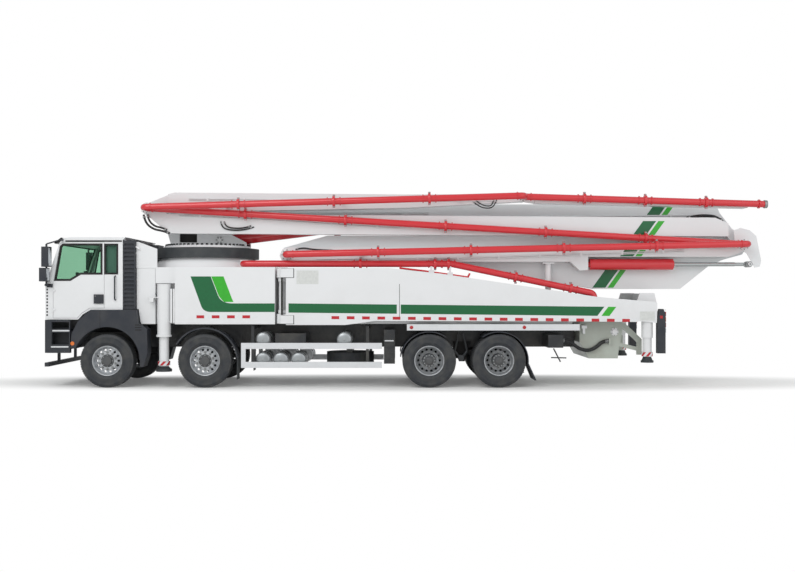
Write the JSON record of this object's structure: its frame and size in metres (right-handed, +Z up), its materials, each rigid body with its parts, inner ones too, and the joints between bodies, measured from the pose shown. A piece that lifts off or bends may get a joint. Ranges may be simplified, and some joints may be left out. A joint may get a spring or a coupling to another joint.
{
  "type": "concrete pump truck",
  "caption": "White concrete pump truck on a cab-over chassis, its long folding boom with red delivery line stowed above side beams that swing out as outriggers.",
  "frame": {"origin": "on the ground, under the middle of the stowed machine's bounding box", "axes": "+X to the rear, -Y to the vehicle's left side, +Z up"},
  "size_m": [14.6201, 2.9, 3.9538],
  "materials": {
    "white_paint": "gloss",
    "boom_white": "gloss",
    "red_paint": "gloss",
    "grey_green_paint": "satin",
    "frame_black": "satin",
    "black_plastic": "matte",
    "rubber": "matte",
    "tyre": "matte",
    "glass": "gloss",
    "cab_trim": "matte",
    "aluminium": "satin",
    "cast_steel": "matte"
  },
  "bodies": {
    "chassis": {"chassis_frame": "frame_black", "engine": "cast_steel", "cab_shell": "white_paint", "cab_glass": "glass", "cab_interior": "cab_trim", "front_bumper": "black_plastic", "mudguards": "black_plastic", "mirrors": "black_plastic", "intake_stacks": "black_plastic", "axles": "cast_steel", "pedestal": "white_paint", "ring_guard": "rubber", "side_cabinets": "white_paint", "deck": "white_paint", "side_guards": "aluminium", "spare_wheel": "tyre", "hopper": "grey_green_paint", "hopper_grate": "grey_green_paint", "deck_pipe": "red_paint", "return_hose": "rubber"},
    "door_left": {"door_left": "white_paint", "door_glass_left": "glass"},
    "wheel_1_left": {"wheel_1_left": "tyre"},
    "knuckle_1_left": {"knuckle_1_left": "cast_steel"},
    "wheel_2_left": {"wheel_2_left": "tyre"},
    "knuckle_2_left": {"knuckle_2_left": "cast_steel"},
    "wheel_3_left": {"wheel_3_left": "tyre"},
    "wheel_4_left": {"wheel_4_left": "tyre"},
    "front_arm_left": {"front_arm_left": "white_paint"},
    "front_jack_left": {"front_jack_left": "white_paint"},
    "rear_arm_left": {"rear_arm_left": "white_paint"},
    "rear_jack_left": {"rear_jack_left": "white_paint"},
    "door_right": {"door_right": "white_paint", "door_glass_right": "glass"},
    "wheel_1_right": {"wheel_1_right": "tyre"},
    "knuckle_1_right": {"knuckle_1_right": "cast_steel"},
    "wheel_2_right": {"wheel_2_right": "tyre"},
    "knuckle_2_right": {"knuckle_2_right": "cast_steel"},
    "wheel_3_right": {"wheel_3_right": "tyre"},
    "wheel_4_right": {"wheel_4_right": "tyre"},
    "front_arm_right": {"front_arm_right": "white_paint"},
    "front_jack_right": {"front_jack_right": "white_paint"},
    "rear_arm_right": {"rear_arm_right": "white_paint"},
    "rear_jack_right": {"rear_jack_right": "white_paint"},
    "turret": {"turret": "white_paint"},
    "boom_1": {"boom_1": "boom_white", "pipe_1": "red_paint"},
    "lift_barrel": {"lift_barrel": "red_paint"},
    "lift_rod": {"lift_rod": "aluminium"},
    "boom_2": {"boom_2": "boom_white", "pipe_2": "red_paint"},
    "boom_3": {"boom_3": "boom_white", "pipe_3": "red_paint", "knuckle_cylinder": "red_paint"},
    "boom_4": {"boom_4": "boom_white", "pipe_4": "red_paint"},
    "boom_5": {"boom_5": "boom_white", "pipe_5": "red_paint"},
    "boom_6": {"boom_6": "boom_white", "pipe_6": "red_paint"}
  },
  "joints": [
    {"name": "door_swing_left", "type": "hinge", "parent": "chassis", "child": "door_left", "pos_m": [-7.15, -1.205, 1.4], "axis": [0, 0, -1], "range_deg": [0, 75]},
    {"name": "steer_1_left", "type": "hinge", "parent": "chassis", "child": "knuckle_1_left", "pos_m": [-6.07, -0.9, 0.54], "axis": [0, 0, 1], "range_deg": [-35, 35]},
    {"name": "roll_1_left", "type": "hinge", "parent": "knuckle_1_left", "child": "wheel_1_left", "pos_m": [-6.07, -1.085, 0.54], "axis": [0, 1, 0], "continuous": true},
    {"name": "steer_2_left", "type": "hinge", "parent": "chassis", "child": "knuckle_2_left", "pos_m": [-4.11, -0.9, 0.54], "axis": [0, 0, 1], "range_deg": [-25.2, 25.2]},
    {"name": "roll_2_left", "type": "hinge", "parent": "knuckle_2_left", "child": "wheel_2_left", "pos_m": [-4.11, -1.085, 0.54], "axis": [0, 1, 0], "continuous": true},
    {"name": "roll_3_left", "type": "hinge", "parent": "chassis", "child": "wheel_3_left", "pos_m": [0.39, -1.085, 0.54], "axis": [0, 1, 0], "continuous": true},
    {"name": "roll_4_left", "type": "hinge", "parent": "chassis", "child": "wheel_4_left", "pos_m": [1.79, -1.085, 0.54], "axis": [0, 1, 0], "continuous": true},
    {"name": "front_arm_slide_left", "type": "slide", "parent": "chassis", "child": "front_arm_left", "axis": [-0.5, -0.866, 0], "range_m": [0, 1.8]},
    {"name": "front_jack_slide_left", "type": "slide", "parent": "front_arm_left", "child": "front_jack_left", "axis": [0, 0, -1], "range_m": [0, 0.5]},
    {"name": "rear_arm_swing_left", "type": "hinge", "parent": "chassis", "child": "rear_arm_left", "pos_m": [-2.59, -1.125, 1.8], "axis": [0, 0, -1], "range_deg": [0, 45]},
    {"name": "rear_jack_slide_left", "type": "slide", "parent": "rear_arm_left", "child": "rear_jack_left", "axis": [0, 0, -1], "range_m": [0, 0.6]},
    {"name": "door_swing_right", "type": "hinge", "parent": "chassis", "child": "door_right", "pos_m": [-7.15, 1.205, 1.4], "axis": [0, 0, 1], "range_deg": [0, 75]},
    {"name": "steer_1_right", "type": "hinge", "parent": "chassis", "child": "knuckle_1_right", "pos_m": [-6.07, 0.9, 0.54], "axis": [0, 0, 1], "range_deg": [-35, 35]},
    {"name": "roll_1_right", "type": "hinge", "parent": "knuckle_1_right", "child": "wheel_1_right", "pos_m": [-6.07, 1.085, 0.54], "axis": [0, 1, 0], "continuous": true},
    {"name": "steer_2_right", "type": "hinge", "parent": "chassis", "child": "knuckle_2_right", "pos_m": [-4.11, 0.9, 0.54], "axis": [0, 0, 1], "range_deg": [-25.2, 25.2]},
    {"name": "roll_2_right", "type": "hinge", "parent": "knuckle_2_right", "child": "wheel_2_right", "pos_m": [-4.11, 1.085, 0.54], "axis": [0, 1, 0], "continuous": true},
    {"name": "roll_3_right", "type": "hinge", "parent": "chassis", "child": "wheel_3_right", "pos_m": [0.39, 1.085, 0.54], "axis": [0, 1, 0], "continuous": true},
    {"name": "roll_4_right", "type": "hinge", "parent": "chassis", "child": "wheel_4_right", "pos_m": [1.79, 1.085, 0.54], "axis": [0, 1, 0], "continuous": true},
    {"name": "front_arm_slide_right", "type": "slide", "parent": "chassis", "child": "front_arm_right", "axis": [-0.5, 0.866, 0], "range_m": [0, 1.8]},
    {"name": "front_jack_slide_right", "type": "slide", "parent": "front_arm_right", "child": "front_jack_right", "axis": [0, 0, -1], "range_m": [0, 0.5]},
    {"name": "rear_arm_swing_right", "type": "hinge", "parent": "chassis", "child": "rear_arm_right", "pos_m": [-2.59, 1.125, 1.8], "axis": [0, 0, 1], "range_deg": [0, 45]},
    {"name": "rear_jack_slide_right", "type": "slide", "parent": "rear_arm_right", "child": "rear_jack_right", "axis": [0, 0, -1], "range_m": [0, 0.6]},
    {"name": "slew", "type": "hinge", "parent": "chassis", "child": "turret", "pos_m": [-4.284, 0, 2.83], "axis": [0, 0, 1], "range_deg": [0, 270]},
    {"name": "boom_lift", "type": "hinge", "parent": "turret", "child": "boom_1", "pos_m": [-5.028, 0, 3.6], "axis": [0, -1, 0], "range_deg": [0, 85]},
    {"name": "lift_barrel_tilt", "type": "hinge", "parent": "turret", "child": "lift_barrel", "pos_m": [-3.975, 0, 3.01], "axis": [0, -1, 0], "range_deg": [0, 89.15]},
    {"name": "lift_rod_slide", "type": "slide", "parent": "lift_barrel", "child": "lift_rod", "axis": [0.9923, 0, 0.1238], "range_m": [0, 1.613]},
    {"name": "knee_1", "type": "hinge", "parent": "boom_1", "child": "boom_2", "pos_m": [6.802, -0.6, 2.9], "axis": [0, 1, 0], "range_deg": [0, 180]},
    {"name": "knee_2", "type": "hinge", "parent": "boom_2", "child": "boom_3", "pos_m": [-2.504, -0.6, 2.68], "axis": [0, -1, 0], "range_deg": [0, 180]},
    {"name": "knee_3", "type": "hinge", "parent": "boom_3", "child": "boom_4", "pos_m": [6.83, -0.6, 2.89], "axis": [0, 1, 0], "range_deg": [0, 180]},
    {"name": "knee_4", "type": "hinge", "parent": "boom_4", "child": "boom_5", "pos_m": [-5.373, -0.6, 3.63], "axis": [0, -1, 0], "range_deg": [0, 180]},
    {"name": "knee_5", "type": "hinge", "parent": "boom_5", "child": "boom_6", "pos_m": [2.315, -0.6, 3.86], "axis": [0, -1, 0], "range_deg": [0, 90]}
  ],
  "couplings": [
    {"joint": "steer_1_right", "follows": "steer_1_left", "ratio": 1},
    {"joint": "steer_2_left", "follows": "steer_1_left", "ratio": 0.72},
    {"joint": "steer_2_right", "follows": "steer_1_left", "ratio": 0.72},
    {"joint": "slew", "follows": "boom_lift", "ratio": 3.1765},
    {"joint": "lift_barrel_tilt", "follows": "boom_lift", "ratio": 1.0487},
    {"joint": "lift_rod_slide", "follows": "boom_lift", "m_per_rad": 1.0863},
    {"joint": "knee_2", "follows": "knee_1", "ratio": 1}
  ]
}
